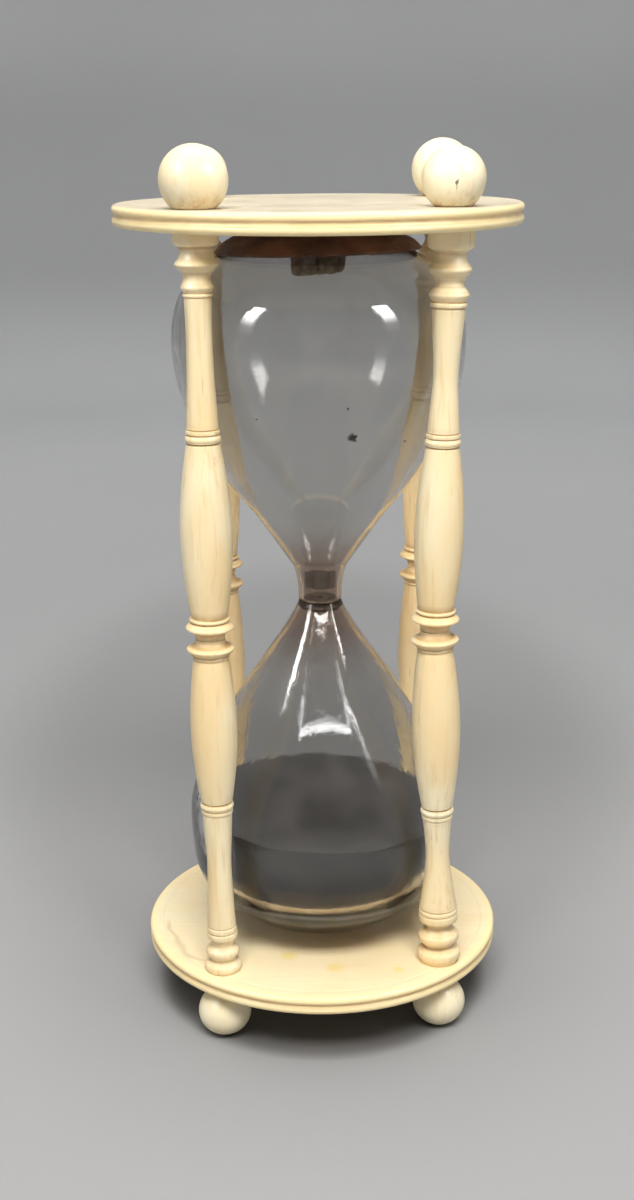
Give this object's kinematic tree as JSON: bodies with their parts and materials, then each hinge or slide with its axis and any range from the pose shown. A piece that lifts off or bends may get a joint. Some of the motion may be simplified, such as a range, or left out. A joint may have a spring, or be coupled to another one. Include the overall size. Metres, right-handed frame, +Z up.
{
  "type": "hourglass",
  "caption": "Sand hourglass: round grooved end plates, turned pillars with ball finials and ball feet, and a pair of blown glass bulbs joined at a narrow neck.",
  "frame": {"origin": "on the ground, under the middle of the bottom plate", "axes": "+Z up along the axis of the hourglass, -Y towards the front, between the front left and front right pillars"},
  "size_m": [0.13, 0.13, 0.2969],
  "materials": {
    "bone_plate": "satin",
    "bone_pillar": "satin",
    "bone_ball": "satin",
    "glass": "polished",
    "diaphragm": "satin",
    "sand": "matte",
    "cork": "matte",
    "leather": "matte"
  },
  "bodies": {
    "frame": {"top_plate": "bone_plate", "bottom_plate": "bone_plate", "front_left_pillar_upper_end": "bone_pillar", "front_left_pillar_upper_belly": "bone_pillar", "front_left_pillar_lower_end": "bone_pillar", "front_left_pillar_lower_belly": "bone_pillar", "front_right_pillar_upper_end": "bone_pillar", "front_right_pillar_upper_belly": "bone_pillar", "front_right_pillar_lower_end": "bone_pillar", "front_right_pillar_lower_belly": "bone_pillar", "back_right_pillar_upper_end": "bone_pillar", "back_right_pillar_upper_belly": "bone_pillar", "back_right_pillar_lower_end": "bone_pillar", "back_right_pillar_lower_belly": "bone_pillar", "back_left_pillar_upper_end": "bone_pillar", "back_left_pillar_upper_belly": "bone_pillar", "back_left_pillar_lower_end": "bone_pillar", "back_left_pillar_lower_belly": "bone_pillar", "upper_bulb": "glass", "lower_bulb": "glass", "neck_diaphragm": "diaphragm", "sand": "sand", "cork": "cork", "leather_cap": "leather"},
    "front_left_finial": {"front_left_finial": "bone_ball"},
    "front_left_foot": {"front_left_foot": "bone_ball"},
    "front_right_finial": {"front_right_finial": "bone_ball"},
    "front_right_foot": {"front_right_foot": "bone_ball"},
    "back_right_finial": {"back_right_finial": "bone_ball"},
    "back_right_foot": {"back_right_foot": "bone_ball"},
    "back_left_finial": {"back_left_finial": "bone_ball"},
    "back_left_foot": {"back_left_foot": "bone_ball"}
  },
  "joints": [
    {"name": "front_left_finial_unscrew", "type": "hinge", "parent": "frame", "child": "front_left_finial", "pos_m": [-0.03642, -0.04136, 0.2867], "axis": [0, 0, 1], "range_deg": [0, 2592]},
    {"name": "front_left_foot_unscrew", "type": "hinge", "parent": "frame", "child": "front_left_foot", "pos_m": [-0.03546, -0.04264, 0.0089], "axis": [0, 0, -1], "range_deg": [0, 2592]},
    {"name": "front_right_finial_unscrew", "type": "hinge", "parent": "frame", "child": "front_right_finial", "pos_m": [0.03943, -0.0372, 0.2865], "axis": [0, 0, 1], "range_deg": [0, 2592]},
    {"name": "front_right_foot_unscrew", "type": "hinge", "parent": "frame", "child": "front_right_foot", "pos_m": [0.04166, -0.03762, 0.0089], "axis": [0, 0, -1], "range_deg": [0, 2592]},
    {"name": "back_right_finial_unscrew", "type": "hinge", "parent": "frame", "child": "back_right_finial", "pos_m": [0.04226, 0.0371, 0.2872], "axis": [0, 0, 1], "range_deg": [0, 2592]},
    {"name": "back_right_foot_unscrew", "type": "hinge", "parent": "frame", "child": "back_right_foot", "pos_m": [0.03822, 0.0371, 0.0089], "axis": [0, 0, -1], "range_deg": [0, 2592]},
    {"name": "back_left_finial_unscrew", "type": "hinge", "parent": "frame", "child": "back_left_finial", "pos_m": [-0.03939, 0.0374, 0.2863], "axis": [0, 0, 1], "range_deg": [0, 2592]},
    {"name": "back_left_foot_unscrew", "type": "hinge", "parent": "frame", "child": "back_left_foot", "pos_m": [-0.03738, 0.03782, 0.0089], "axis": [0, 0, -1], "range_deg": [0, 2592]}
  ]
}
